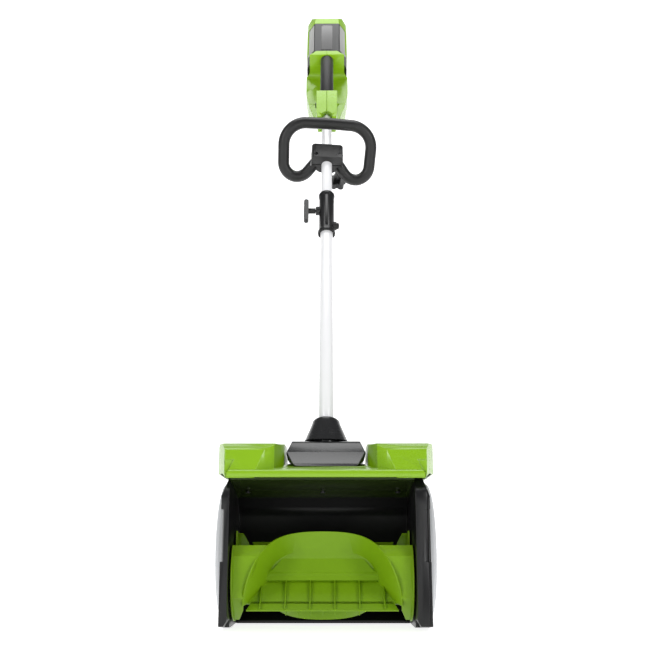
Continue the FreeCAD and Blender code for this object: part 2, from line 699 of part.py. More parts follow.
def wheels():
    for name, side in (("left", -1), ("right", 1)):
        along = V(side, 0, 0)
        centre_z = wheel_radius + ground
        near = cheek_outer + wheel_gap
        start = V(side * near, wheel_y, centre_z)
        r = wheel_radius
        bore = axle_radius + running_fit
        w = wheel_width
        profile = [(bore, 0), (20, 0), (20, 4), (r - 20, 4), (r - 17, 0), (r - 1.5, 0), (r, 1.5),
                   (r, w * 0.62), (r - 3, w * 0.84), (r - 11, w), (r - 18, w - 0.6), (r - 23, w - 5.5),
                   (34, w - 5.5), (29, w - 1), (bore, w - 1)]
        wheel = turned(profile, start, along)
        for i in range(8):
            angle = math.radians(45 * i + 22.5)
            y = wheel_y + 56 * math.cos(angle)
            z = centre_z + 56 * math.sin(angle)
            hole = rod(V(side * (near - 1), y, z), along, 13, w + 2)
            wheel = wheel.cut(hole)
        save(name + "_wheel", wheel)
        wall = abs(left_inner if side < 0 else right_inner)
        nut = rod(V(side * (wall - 6), wheel_y, centre_z), along, 12, 5.7)
        end = near + w - 1 + gap
        bolt = rod(V(side * (wall - 1), wheel_y, centre_z), along, axle_radius, end - wall + 1)
        head = rod(V(side * end, wheel_y, centre_z), along, 13, 3)
        save(name + "_axle_bolt", fused([bolt, head, nut]))


# ---------------------------------------------------------------- motor cover and shaft socket

def motor_cover():
    def block(inset):
        i = inset
        side_view = [(70 + 2 * i, 239), (76 + 2 * i, 243 - i / 2), (116 + i, 283 - i), (150, cover_top - i),
                     (208 - i, cover_top - i), (230 - i, 262), (230 - i, 239)]
        front_view = [(-48 + i, 236), (-62 + i, 250), (-cover_half + i, 262), (-54 + i, cover_top + 1 - i),
                      (54 - i, cover_top + 1 - i), (cover_half - i, 262), (62 - i, 250), (48 - i, 236)]
        top_view = [(-44 + i, 60), (-cover_half + i, 98 + i), (-cover_half + i, 232 - i),
                    (cover_half - i, 232 - i), (cover_half - i, 98 + i), (44 - i, 60)]
        shape = prism_x(side_view, [0, 3, 14, 10, 14, 8, 0], -80, 80)
        shape = shape.common(prism_y(front_view, [0, 6, 6, 5, 5, 6, 6, 0], 40, 250))
        return shape.common(prism_z(top_view, [0, 6, 10, 10, 6, 0], 200, 320))

    outside = block(0)
    cover = outside.cut(block(3.0))
    lid = roof_middle + gap
    bump = [(58, 220), (58, 237.5), (70, 238), (118, lid), (216, lid), (242, 226), (242, 220)]
    cover = cover.cut(prism_x(bump, [0] * 7, -120, 120))
    cover = cover.cut(leaned(rod(V(0, 0, -socket_depth - 12), V(0, 0, 1), column_radius + gap, 100)))
    foot = lean_placement().multVec(V(0, 0, -socket_depth))
    post_start = roof_middle - 5
    post_room = rod(V(0, foot.y, post_start), V(0, 0, 1), column_radius + gap, foot.z - post_start)
    cover = cover.cut(post_room)
    for x in (-18, -6, 6, 18):
        cover = cover.cut(box(x - 3.5, x + 3.5, 222, 240, 252, 262))
    for x in (-44, 44):
        cover = cover.cut(rod(V(x, 196, cover_top - 10), V(0, 0, 1), 1.8, 20))
    pieces = sorted(cover.Solids, key=lambda s: -s.Volume)
    save("motor_cover", pieces[0])
    heads = []
    for x in (-44, 44):
        heads.append(screw(V(x, 196, cover_top), V(0, 0, -1), 1.6, 6, 3.0, 1.8))
    save("motor_cover_screws", Part.makeCompound(heads))


def shaft_socket():
    """The boot on the cover's flat top, and the column inside the cover that holds the shaft."""
    bore = lower_tube_radius + tube_clearance
    base = Part.Wire(Part.makeCircle(socket_base_radius, V(0, socket_y, cover_top + 0.2), V(0, 0, 1)))
    upright = lean_placement()
    middle = upright.multVec(V(0, 0, -socket_drop - crown_height))
    axis = upright.Rotation.multVec(V(0, 0, 1))
    shoulder = Part.Wire(Part.makeCircle(socket_top_radius, middle, axis))
    boot = Part.makeLoft([base, shoulder], True, True)
    r = socket_top_radius
    top = -socket_drop
    crown = turned([(0, top - crown_height), (r, top - crown_height), (r - 0.6, top - 2.4),
                    (r - 2.4, top - 0.6), (r - 5, top), (0, top)], V(0, 0, 0), V(0, 0, 1))
    column = rod(V(0, 0, -socket_depth - 6), V(0, 0, 1), column_radius, socket_depth - socket_drop)
    foot = upright.multVec(V(0, 0, -socket_depth))
    post = rod(V(0, foot.y, roof_middle + 0.1), V(0, 0, 1), column_radius, foot.z - roof_middle)
    socket = boot.fuse(leaned(fused([crown, column]))).fuse(post)
    socket = socket.cut(leaned(rod(V(0, 0, -socket_depth), V(0, 0, 1), bore, 90)))
    socket = socket.cut(leaned(rod(V(-50, 0, bolt_drop), V(1, 0, 0), 2.6, 100)))
    save("shaft_socket", socket)
    save("socket_bolt", leaned(rod(V(-bolt_half, 0, bolt_drop), V(1, 0, 0), 2.5, 2 * bolt_half)))


# ---------------------------------------------------------------- shaft and coupler

def tube(radius, z0, z1):
    return ring(0, 0, radius, radius - tube_wall, z0, z1)


def shaft():
    lower = tube(lower_tube_radius, -socket_depth, split_z)
    lower = lower.cut(rod(V(-40, 0, bolt_drop), V(1, 0, 0), 2.6, 80))
    save("lower_tube", leaned(lower))
    upper = tube(upper_tube_radius, split_z + 2, upper_tube_top)
    save("upper_tube", leaned(upper))

    bore = lower_tube_radius + tube_clearance
    sleeve = rod(V(0, 0, sleeve_bottom), V(0, 0, 1), sleeve_radius, sleeve_top - sleeve_bottom)
    r = sleeve_radius
    collar = turned([(0, sleeve_bottom), (r + 2.2, sleeve_bottom), (r + 2.2, sleeve_bottom + 6),
                     (r, sleeve_bottom + 12), (0, sleeve_bottom + 12)], V(0, 0, 0), V(0, 0, 1))
    brow = turned([(0, sleeve_top - 10), (r, sleeve_top - 10), (r + 1.2, sleeve_top - 7),
                   (r + 1.2, sleeve_top - 2), (r - 1, sleeve_top), (0, sleeve_top)], V(0, 0, 0), V(0, 0, 1))
    ear = rod(V(-22, 0, clamp_knob_z), V(1, 0, 0), 9, 20)
    socket = rod(V(0, 0, release_z), V(1, 0, 0), 8.6, 20)
    rib = box(-2.5, 2.5, -sleeve_radius - 1.4, 0, sleeve_bottom + 14, sleeve_top - 14)
    sleeve = fused([sleeve, collar, brow, ear, socket, rib])
    sleeve = sleeve.cut(rod(V(0, 0, sleeve_bottom - 1), V(0, 0, 1), bore, split_z - sleeve_bottom + 1.5))
    sleeve = sleeve.cut(rod(V(0, 0, split_z - 1), V(0, 0, 1), upper_tube_radius + tube_clearance, 100))
    for side, wide in ((-1, 4.0), (1, 4.0)):
        arch = rod(V(side * 30, 0, sleeve_bottom), V(-side, 0, 0), wide, 20)
        sleeve = sleeve.cut(arch)
    sleeve = sleeve.cut(rod(V(-30, 0, clamp_knob_z), V(1, 0, 0), 3.4, 25))
    sleeve = sleeve.cut(rod(V(15.2, 0, release_z), V(1, 0, 0), 6.8, 20))
    sleeve = sleeve.cut(rod(V(10, 0, sleeve_top - 18), V(1, 0, 0), 2.2, 20))
    save("coupler_sleeve", leaned(sleeve))

    bar = box(-46, -36.5, -6.5, 6.5, clamp_knob_z - 22, clamp_knob_z + 22)
    for z in (clamp_knob_z - 11.5, clamp_knob_z + 11.5):
        bar = bar.cut(rod(V(-46.5, -10, z), V(0, 1, 0), 4.2, 20))
    for z in (clamp_knob_z - 22, clamp_knob_z + 22):
        bar = bar.fuse(rod(V(-41.2, -6.5, z), V(0, 1, 0), 4.8, 13))
    stem = rod(V(-38, 0, clamp_knob_z), V(1, 0, 0), 5.6, 15.4)
    thread = rod(V(-23, 0, clamp_knob_z), V(1, 0, 0), 3.0, 9.6)
    knob = fused([bar, stem, thread])
    save("coupler_knob", leaned(knob))
    button = rod(V(18.4, 0, release_z), V(1, 0, 0), 6.4, 3.8)
    dome = turned([(0, 0), (6.4, 0), (6.0, 1.6), (4.6, 2.8), (0, 3.4)], V(22.0, 0, release_z), V(1, 0, 0))
    save("release_button", leaned(fused([button, dome])))
    pin = rod(V(upper_tube_radius + tube_clearance + 0.1, 0, sleeve_top - 18), V(1, 0, 0), 2.1, 4.4)
    save("sleeve_pin", leaned(pin))


# ---------------------------------------------------------------- loop handle

def loop_frame(shape):
    """Sets a piece drawn in the loop's plane (X across, Z up the loop) onto the upright shaft."""
    done = shape.copy()
    tilt = FreeCAD.Placement(V(0, 0, 0), FreeCAD.Rotation(V(1, 0, 0), loop_lean_deg))
    done.Placement = tilt.multiply(shape.Placement)
    done.translate(V(0, 0, loop_z))
    return turned_handle(done)


def turned_handle(shape):
    """Turns a loop-handle piece about the shaft by the angle at which it is clamped."""
    done = shape.copy()
    done.rotate(V(0, 0, 0), V(0, 0, 1), loop_turn_deg)
    return done


def loop_path():
    half = [(20, -4), (50, -loop_drop - 6), (loop_half - 3, -loop_drop), (loop_half + 1, loop_rise + 1)]
    points = [V(-x, 0, z) for x, z in half]
    points.append(V(0, 0, loop_rise + 3))
    points += [V(x, 0, z) for x, z in reversed(half)]
    radii = [0, 30, 30, 46, 260, 46, 30, 30, 0]
    return rounded(points, radii, closed=False)


def loop_handle():
    path = loop_path()
    start = path.Edges[0].valueAt(path.Edges[0].FirstParameter)
    along = path.Edges[0].tangentAt(path.Edges[0].FirstParameter)
    circle = Part.Wire(Part.makeCircle(loop_radius, start, along))
    grip = path.makePipeShell([circle], True, False)
    tilted = loop_frame(grip)

    low = loop_z - boss_height / 2
    high = loop_z + boss_height / 2
    outline = [(-boss_half, -24), (boss_half, -24), (boss_half, -0.6), (-boss_half, -0.6)]
    boss = prism_z(outline, [8, 8, 0, 0], low, high)
    boss = turned_handle(boss)
    body = fused([tilted, boss])
    reach = loop_half + loop_rise
    free = rod(V(0, 0, loop_z - reach), V(0, 0, 1), upper_tube_radius + tube_clearance, 2 * reach)
    room = turned_handle(box(-boss_half - 0.6, boss_half + 0.6, -0.55, 22.6, low - 0.6, high + 0.6))
    body = body.cut(free).cut(room)
    body = body.cut(turned_handle(rod(V(-24, -30, bolt_z), V(0, 1, 0), 2.6, 60)))
    body = body.cut(turned_handle(rod(V(-24, -30, bolt_z), V(0, 1, 0), 4.6, 12)))
    body = body.cut(turned_handle(rod(V(bolt_x, -30, bolt_z), V(0, 1, 0), 3.2, 80)))
    body = body.cut(turned_handle(rod(V(bolt_x, -30, bolt_z), V(0, 1, 0), 6.4, 12)))
    body = body.cut(turned_handle(rod(V(bolt_x, 12, bolt_z), V(0, 1, 0), 7.6, 50)))
    pieces = sorted(body.Solids, key=lambda s: -s.Volume)
    save("loop_handle", leaned(pieces[0]))

    outline = [(-boss_half, 0.6), (boss_half, 0.6), (boss_half, 8), (14, 22), (-14, 22), (-boss_half, 8)]
    cap = prism_z(outline, [0, 0, 4, 8, 8, 4], low, high)
    cap = cap.cut(free)
    cap = cap.cut(rod(V(-24, -30, bolt_z), V(0, 1, 0), 2.1, 60))
    cap = cap.cut(rod(V(bolt_x, -30, bolt_z), V(0, 1, 0), 3.2, 80))
    cap = cap.cut(rod(V(bolt_x, 13.2, bolt_z), V(0, 1, 0), 7.6, 40))
    save("clamp_cap", leaned(turned_handle(cap)))
    fixing = screw(V(-24, -18.1, bolt_z), V(0, 1, 0), 2.0, 26, 4.2, 3)
    save("clamp_screw", leaned(turned_handle(fixing)))

    knob = rod(V(bolt_x, knob_y, bolt_z), V(0, 1, 0), 14, knob_thick)
    for i in range(5):
        angle = math.radians(72 * i + 18)
        place = V(bolt_x + 13 * math.cos(angle), knob_y, bolt_z + 13 * math.sin(angle))
        knob = knob.fuse(rod(place, V(0, 1, 0), 7, knob_thick))
    collar = rod(V(bolt_x, 13.3, bolt_z), V(0, 1, 0), 7, knob_y - 12)
    stem = rod(V(bolt_x, -21, bolt_z), V(0, 1, 0), 3.0, 40)
    head = rod(V(bolt_x, -22.5, bolt_z), V(0, 1, 0), 6, 4.2)
    save("clamp_knob", leaned(turned_handle(fused([knob, collar, stem, head]))))


# ---------------------------------------------------------------- rear handle

def both_sides(points):
    """An outline from its right half: the left half mirrors it, from the same end."""
    return [(-x, z) for x, z in points] + list(reversed(points))


def rear_solid():
    """The rear handle's outside, whole, drawn about the upright shaft."""
    neck_side = [(-grip_radius + grip_y - 3, neck_top), (-24, neck_top - 40), (-20, rear_start + 16),
                 (-16, rear_start), (14, rear_start), (20, rear_start + 30), (50, rear_start + 62),
                 (body_far, rear_start + 104),
                 (body_far, battery_start), (battery_near - 2, battery_start), (-28, grip_end + 1),
                 (-28, grip_end - 14), (body_near, grip_end - 14), (body_near, neck_top + 22), (6, neck_top + 6)]
    radii = [0, 20, 10, 6, 8, 16, 20, 30, 6, 3, 4, 0, 14, 16, 0]
    wire = rounded([V(-60, y, z) for y, z in neck_side], radii)
    side = Part.Face(wire).extrude(V(120, 0, 0))
    neck = [(neck_half - 4, rear_start), (neck_half, rear_start + 30), (neck_half, neck_top + 10),
            (body_half, neck_top + 38), (body_half + 1, battery_start)]
    front = prism_y(both_sides(neck), [3, 20, 20, 40, 0, 0, 40, 20, 20, 3], -60, 30)
    low = [(neck_half - 5, rear_start + 20), (body_half - 7, neck_top + 10),
           (body_half + 1, neck_top + 68), (body_half + 1, battery_start)]
    under = prism_y(both_sides(low), [0, 30, 30, 0, 0, 30, 30, 0], 24, 100)
    whole = side.common(front.fuse(under))
    for end in (-1, 1):
        whole = whole.cut(shoulder(end))
    return whole


def shoulder(end):
    """The space beside the rear handle's crown that the battery's skirts fill."""
    foot = battery_start - skirt
    points = [(end * crown_half, battery_start), (end * (body_half + 1.5), foot),
              (end * (body_half + 40), foot), (end * (body_half + 40), battery_start + 1),
              (end * crown_half, battery_start + 1)]
    return prism_y(points, [0] * 5, battery_near - 40, battery_far + 60)


def trigger_room():
    return box(-7.6, 7.6, -16, 8, neck_top + 19, neck_top + 79)


def rear_handle():
    core = rod(V(0, grip_y, neck_top - 6), V(0, 0, 1), grip_core_radius, grip_end - neck_top)
    sleeve_room = rod(V(0, grip_y, neck_top + 0.7), V(0, 0, 1), grip_radius + 0.3, grip_end - 14.9 - neck_top)
    whole = fused([rear_solid().cut(sleeve_room), core])
    bore = rod(V(0, 0, rear_start - 5), V(0, 0, 1), upper_tube_radius + tube_clearance,
               upper_tube_top - rear_start + 5.5)
    arch = rod(V(0, -60, rear_start + 18), V(0, 1, 0), upper_tube_radius + 1.4, 60)
    wide = upper_tube_radius + 1.4
    mouth = box(-wide, wide, -60, 0, rear_start - 10, rear_start + 18)
    hollow = box(-body_half + 14, body_half - 14, body_near + 4, body_far - 4,
                 neck_top + 54, battery_start - 22)
    whole = whole.cut(bore).cut(arch).cut(mouth).cut(hollow).cut(trigger_room())
    for z in housing_screw_z:
        whole = whole.cut(rod(V(-100, 56, z), V(1, 0, 0), 1.9, 200))
        whole = whole.cut(rod(V(-100, 56, z), V(1, 0, 0), 3.6, 100 - body_half + 3))
    whole = whole.cut(rod(V(-60, lock_y, lock_z), V(1, 0, 0), lock_radius + 0.3, 60))
    block = box(-16.3, 16.3, 9.7, 36.3, battery_start - 14, battery_start + 1)
    pin_seat = rod(V(-pin_half, trigger_pin_y, trigger_pin_z), V(1, 0, 0), trigger_pin_radius, 2 * pin_half)
    whole = whole.cut(block).cut(pin_seat)
    for name, x0, x1 in (("left_housing", -100, -0.1), ("right_housing", 0.1, 100)):
        half = whole.common(box(x0, x1, -200, 200, rear_start - 100, battery_start + 100))
        save(name, leaned(sorted(half.Solids, key=lambda s: -s.Volume)[0]))
    save("trigger_pin", leaned(pin_seat))
    screws = [screw(V(-body_half + 3, 56, z), V(1, 0, 0), 1.8, 60, 3.4, 2.4) for z in housing_screw_z]
    save("housing_screws", leaned(Part.makeCompound(screws)))
    save("terminal_block", leaned(box(-16, 16, 10, 36, battery_start - 13.5, battery_start - 0.2)))
    save("control_board", leaned(box(-30, 30, 44, 45.6, neck_top + 70, neck_top + 114)))
    save("power_switch", leaned(box(-12, 12, 60, 70.5, neck_top + 72, neck_top + 100)))

    grip = ring(0, grip_y, grip_radius, grip_core_radius + 0.1, neck_top + 1, grip_end - 14.5)
    save("grip", leaned(grip.cut(trigger_room()).cut(pin_seat)))
    t = neck_top
    blade = [(-6, t + 23), (14, t + 23), (20, t + 38), (17, t + 60), (9, t + 76), (-6, t + 76)]
    trigger = prism_x(blade, [2, 6, 12, 12, 4, 2], -7, 7)
    eye = trigger_pin_radius + running_fit
    trigger = trigger.cut(rod(V(-8, trigger_pin_y, trigger_pin_z), V(1, 0, 0), eye, 16))
    save("trigger", leaned(trigger))
    lock = rod(V(-neck_half - 2.5, lock_y, lock_z), V(1, 0, 0), lock_radius, 10.5)
    save("lock_button", leaned(lock))


def battery():
    x = body_half - 1
    near = battery_near
    far = battery_far
    outline = [(-x, near + 26), (-x + 17, near), (x - 17, near), (x, near + 26), (x, far - 12), (x - 12, far),
               (-x + 12, far), (-x, far - 12)]
    radii = [5, 5, 5, 5, 5, 5, 5, 5]
    start = battery_start + gap
    case = prism_z(outline, radii, start - skirt, start + battery_length)
    under = [(crown_half + gap, start), (body_half + 2, start - skirt), (body_half + 2, start - skirt - 9)]
    case = case.cut(prism_y(both_sides(under), [0] * 6, near - 10, far + 10))
    r = rail_width + 3
    room = [(x - 19, near + 4), (x - r, near + 28), (x - r, far - 12), (x - 13, far - 4)]
    inside = prism_z(both_sides(room), [2] * 8, start + 4, start + battery_length + 5)
    rails = []
    for end in (-1, 1):
        edge = [(end * (x - rail_width), near + 23), (end * (x - rail_width + 3), near + 19),
                (end * (x + 1), near + 24), (end * (x + 1), far - 14), (end * (x - rail_width), far - 8)]
        rails.append(prism_z(edge, [0] * 5, start + 20, start + battery_length + gap))
    case = case.cut(inside)
    for rail in rails:
        case = case.cut(rail)
    save("battery_case", leaned(case))
    top = start + battery_length + gap
    low = prism_z(outline, radii, top, top + battery_cap)
    lid = top + battery_cap
    wedge = prism_x([(near - 5, top + 12), (near - 5, lid + 26), (far + 5, lid + 26), (far + 5, top + 24),
                     (near + 46, lid), (near + 12, lid)], [0, 0, 0, 0, 4, 4], -80, 80)
    cap = low.cut(wedge)
    for end in (-1, 1):
        slope = [(end * (x + 35), top + 10), (end * (x - 14), lid + 1), (end * (x + 35), lid + 1)]
        cap = cap.cut(prism_y(slope, [0] * 3, -60, 120))
    pocket = box(-15.4, 15.4, near + 12, near + 30, lid - 12, lid + 5)
    cap = cap.cut(pocket)
    save("battery_cap", leaned(fused([cap] + rails)))
    latch = box(-14.9, 14.9, near + 12.5, near + 29.5, lid - 8, lid - 1)
    save("battery_latch", leaned(latch))
    cells = []
    for i in range(-2, 3):
        for y in (14, 44):
            cells.append(rod(V(i * cell_pitch, y, start + 6), V(0, 0, 1), cell_radius, 92))
    save("battery_cells", leaned(Part.makeCompound(cells)))


cheeks()
scraper()
hood()
ceiling()
scroll()
rotor()
drive()
wheels()
motor_cover()
shaft_socket()
shaft()
loop_handle()
rear_handle()
battery()
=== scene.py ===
"""A cordless snow shovel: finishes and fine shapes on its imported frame."""

import json
import math

import bmesh
import bpy
from bpy.props import FloatProperty, FloatVectorProperty, IntProperty, PointerProperty
from mathutils import Matrix, Vector
from mathutils.bvhtree import BVHTree

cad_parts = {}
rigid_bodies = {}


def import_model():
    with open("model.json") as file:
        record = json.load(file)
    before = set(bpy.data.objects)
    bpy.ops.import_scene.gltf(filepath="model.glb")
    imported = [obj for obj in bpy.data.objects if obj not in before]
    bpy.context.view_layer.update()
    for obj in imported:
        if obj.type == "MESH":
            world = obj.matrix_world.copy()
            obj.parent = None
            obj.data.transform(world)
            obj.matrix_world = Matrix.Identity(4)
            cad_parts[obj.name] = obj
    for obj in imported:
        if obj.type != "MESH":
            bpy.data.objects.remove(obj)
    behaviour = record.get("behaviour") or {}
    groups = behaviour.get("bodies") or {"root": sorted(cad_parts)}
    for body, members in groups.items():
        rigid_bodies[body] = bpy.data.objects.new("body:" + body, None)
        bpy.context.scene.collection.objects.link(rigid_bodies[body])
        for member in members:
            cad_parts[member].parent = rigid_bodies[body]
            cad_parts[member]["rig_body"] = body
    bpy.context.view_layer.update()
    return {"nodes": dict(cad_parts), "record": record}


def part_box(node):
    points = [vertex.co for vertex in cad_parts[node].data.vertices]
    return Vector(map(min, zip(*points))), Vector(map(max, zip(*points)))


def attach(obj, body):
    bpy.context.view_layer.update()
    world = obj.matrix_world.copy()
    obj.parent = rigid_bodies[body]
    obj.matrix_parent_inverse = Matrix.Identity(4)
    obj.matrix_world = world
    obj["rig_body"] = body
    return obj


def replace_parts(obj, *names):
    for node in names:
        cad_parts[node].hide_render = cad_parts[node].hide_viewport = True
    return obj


bl_info = {
    "name": "Cordless snow shovel",
    "version": (1, 0, 0),
    "blender": (4, 5, 0),
    "location": "3D View > Sidebar > Shovel",
    "description": "Builds the moulded, painted and gripped surfaces of a battery snow shovel",
    "category": "Add Mesh",
}

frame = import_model()

FINE_EDGE = 0.0003  # softening of screws and thin steel
ROTOR_AXIS = Vector((-0.005, -0.070, 0.076))
SHAFT_FOOT = Vector((0.0, 0.009, 0.337))
SHAFT_LEAN = math.radians(-22)
WHEEL_AXIS = Vector((0.0, 0.043, 0.112))


# ---------------------------------------------------------------- sizes and colours


def length(name, description, default):
    return FloatProperty(name=name, description=description, default=default, unit="LENGTH", precision=5)


def shade(name, description, default):
    return FloatVectorProperty(
        name=name, description=description, default=default, subtype="COLOR", min=0, max=1)


class ShovelSizes(bpy.types.PropertyGroup):
    hood_edge: length("Hood edge", "Softening of the hood's moulded edges", 0.0012)
    plate_edge: length("Plate edge", "Softening of the black side plates' edges", 0.0009)
    small_edge: length("Small edge", "Softening of small mouldings and steel parts", 0.0004)
    rotor_radius: length("Rotor radius", "Envelope of the turning rotor", 0.068)
    rotor_wall: length("Rotor wall", "Thickness of the scoops' walls", 0.0024)
    pip_height: length("Wheel pips", "How far the pips stand off a wheel's sidewall", 0.0004)
    rim_steps: IntProperty(name="Rim steps", description="Divisions along half of a scoop's rim", default=36)
    pip_count: IntProperty(
        name="Pip count", description="Raised pips round each wheel's sidewall", default=48)


class ShovelColours(bpy.types.PropertyGroup):
    hood: shade("Hood green", "Glossy green of the hood and the rear handle", (0.225, 0.430, 0.004))
    # Painted shade: the rotor green is the hood green darkened to about three quarters, standing for the
    # shade inside the head.
    rotor: shade("Rotor green", "Green of the rotor", (0.175, 0.330, 0.003))
    # Painted shade: this dark olive is the green of the mouth's ceiling darkened for the shade under the
    # hood.
    ceiling: shade("Ceiling", "Dark olive of the mouth's glossy ceiling", (0.020, 0.034, 0.006))
    black: shade("Shell black", "Black of the side plates", (0.0055, 0.0055, 0.006))
    cover: shade("Cover black", "Black of the motor cover", (0.009, 0.009, 0.010))
    grip: shade("Grip black", "Black of the soft grips", (0.0055, 0.0055, 0.0055))
    tube: shade("Tube white", "White paint of the shaft", (0.80, 0.80, 0.81))
    wheel: shade("Wheel grey", "Light grey of the wheels", (0.56, 0.57, 0.58))
    battery: shade("Battery grey", "Dark grey of the battery", (0.011, 0.012, 0.012))
    inlay: shade("Battery inlay", "Light grey of the battery's side panels", (0.36, 0.36, 0.35))


# ---------------------------------------------------------------- shader arithmetic


class Signal:
    """A shader socket that takes part in ordinary arithmetic."""

    def __init__(self, finish, socket):
        self.finish = finish
        self.socket = socket

    def joined(self, operation, first, second):
        return self.finish.node("ShaderNodeMath", {"operation": operation}, {0: first, 1: second})

    def __add__(self, other):
        return self.joined("ADD", self, other)

    def __radd__(self, other):
        return self.joined("ADD", other, self)

    def __sub__(self, other):
        return self.joined("SUBTRACT", self, other)

    def __rsub__(self, other):
        return self.joined("SUBTRACT", other, self)

    def __mul__(self, other):
        return self.joined("MULTIPLY", self, other)

    def __rmul__(self, other):
        return self.joined("MULTIPLY", other, self)


class Finish:
    """One material: a Principled shader and the nodes that vary it over a surface."""

    def __init__(self, name, fixed):
        self.material = bpy.data.materials.new(name)
        self.material.use_nodes = True
        self.tree = self.material.node_tree
        self.shader = self.tree.nodes["Principled BSDF"]
        for label, value in fixed.items():
            self.shader.inputs[label].default_value = value
        self.place = self.node("ShaderNodeTexCoord", output="Object")

    def node(self, kind, settings=None, values=None, output=0):
        """Adds a node: its settings first, then the values or links of its sockets."""
        made = self.tree.nodes.new(kind)
        for label, value in (settings or {}).items():
            if label == "stops":
                for stop, (at, colour) in zip(made.color_ramp.elements, value):
                    stop.position = at
                    stop.color = colour
            else:
                setattr(made, label, value)
        for label, value in (values or {}).items():
            if isinstance(value, Signal):
                self.tree.links.new(value.socket, made.inputs[label])
            else:
                made.inputs[label].default_value = value
        return Signal(self, made.outputs[output])

    def noise(self, scale, detail=2.0, stretch=None):
        """Cloudy noise from 0 to 1; stretch squeezes it along the axes."""
        place = self.place
        if stretch:
            place = self.node("ShaderNodeMapping", None, {"Vector": place, "Scale": stretch})
        return self.node("ShaderNodeTexNoise", None, {"Vector": place, "Scale": scale, "Detail": detail})

    def step(self, signal, low, high):
        """0 below low, 1 above high, a smooth ramp between."""
        smooth = {"interpolation_type": "SMOOTHSTEP"}
        return self.node("ShaderNodeMapRange", smooth, {0: signal, 1: low, 2: high})

    def blend(self, factor, first, second):
        """A colour between two others."""
        pair = {0: factor, 6: opaque(first), 7: opaque(second)}
        return self.node("ShaderNodeMix", {"data_type": "RGBA", "clamp_factor": True}, pair, output=2)

    def feed(self, **signals):
        for label, signal in signals.items():
            socket = self.shader.inputs[label.replace("_", " ").title()]
            self.tree.links.new(signal.socket, socket)

    def relief(self, height, distance, strength=1.0):
        bump = {"Height": height, "Distance": distance, "Strength": strength}
        self.feed(normal=self.node("ShaderNodeBump", None, bump))


def opaque(colour):
    return colour if isinstance(colour, Signal) else (*colour[:3], 1.0)


def scaled(colour, factor):
    return tuple(min(1.0, channel * factor) for channel in colour)


def moulded(name, colour, roughness, grain, depth, fixed=None):
    """Injection-moulded plastic: spark-eroded grain, faint flow clouding and handling scuffs."""
    finish = Finish(name, {"Roughness": roughness, "Specular IOR Level": 0.42, **(fixed or {})})
    clouds = finish.noise(7.0, 3.0)
    texture = finish.noise(grain, 2.0)
    scuffs = finish.step(finish.noise(26.0, 6.0, (1.0, 1.0, 5.0)), 0.60, 0.74)
    tone = clouds * 0.7 + texture * 0.3
    base = finish.blend(tone, scaled(colour, 0.88), scaled(colour, 1.10))
    worn = finish.blend(scuffs * 0.10, base, scaled(colour, 1.5))
    finish.feed(base_color=worn, roughness=roughness - 0.05 + clouds * 0.08 + scuffs * 0.10 + texture * 0.04)
    finish.relief(texture, depth, 0.6)
    return finish.material


def painted(name, colour):
    """Gloss powder coat with a fine orange-peel surface."""
    fixed = {"Coat Weight": 0.5, "Coat Roughness": 0.08, "Specular IOR Level": 0.5}
    finish = Finish(name, fixed)
    peel = finish.noise(420.0, 2.0)
    clouds = finish.noise(9.0, 3.0)
    scratches = finish.step(finish.noise(60.0, 4.0, (6.0, 6.0, 0.5)), 0.66, 0.75)
    base = finish.blend(clouds, scaled(colour, 0.96), scaled(colour, 1.03))
    finish.feed(base_color=finish.blend(scratches * 0.12, base, scaled(colour, 0.6)))
    finish.feed(roughness=0.20 + clouds * 0.06 + scratches * 0.2)
    finish.relief(peel, 0.00006, 0.5)
    return finish.material


def soft_rubber(name, colour, roughness=0.52):
    """Soft overmould: dense pebbled grain that dulls where hands hold it."""
    finish = Finish(name, {"Specular IOR Level": 0.4, "Sheen Weight": 0.06})
    cells = {"Vector": finish.place, "Scale": 900.0, "Smoothness": 0.6}
    pebble = finish.node("ShaderNodeTexVoronoi", {"feature": "SMOOTH_F1"}, cells)
    polish = finish.noise(14.0, 3.0)
    finish.feed(base_color=finish.blend(polish, scaled(colour, 0.75), scaled(colour, 1.5)))
    finish.feed(roughness=roughness - 0.08 + polish * 0.16)
    finish.relief(1 - pebble, 0.00025, 0.7)
    return finish.material


def metal(name, colour, roughness, brush=(1.0, 1.0, 1.0), metallic=1.0):
    """Plated or blacked steel with drawn grain and a few dull patches."""
    finish = Finish(name, {"Metallic": metallic})
    grain = finish.noise(500.0, 3.0, brush)
    patches = finish.noise(40.0, 4.0)
    finish.feed(base_color=finish.blend(patches, scaled(colour, 0.8), scaled(colour, 1.1)))
    finish.feed(roughness=roughness - 0.1 + grain * 0.12 + patches * 0.12)
    finish.relief(grain, 0.00005, 0.5)
    return finish.material


def ribbed_belt(name):
    """Drive-belt rubber with its grooves running round the pulleys."""
    finish = Finish(name, {"Specular IOR Level": 0.3})
    across = finish.node("ShaderNodeSeparateXYZ", None, {"Vector": finish.place}, output="X")
    ribs = finish.node("ShaderNodeMath", {"operation": "SINE"}, {0: across * 2800.0})
    dust = finish.noise(90.0, 4.0)
    finish.feed(base_color=finish.blend(dust, (0.010, 0.010, 0.010), (0.035, 0.034, 0.033)))
    finish.feed(roughness=0.6 + dust * 0.2)
    finish.relief(ribs, 0.0003, 0.8)
    return finish.material


def circuit_board(name):
    """Green lacquer with copper tracks showing through."""
    finish = Finish(name, {"Specular IOR Level": 0.5})
    grid = {"Vector": finish.place, "Scale": 260.0}
    tracks = finish.node("ShaderNodeTexBrick", None, {**grid, "Mortar Size": 0.03}, output="Fac")
    finish.feed(base_color=finish.blend(tracks, (0.01, 0.09, 0.03), (0.03, 0.20, 0.08)))
    finish.feed(roughness=0.3 + tracks * 0.15)
    return finish.material


finishes = {}
inlays = {}


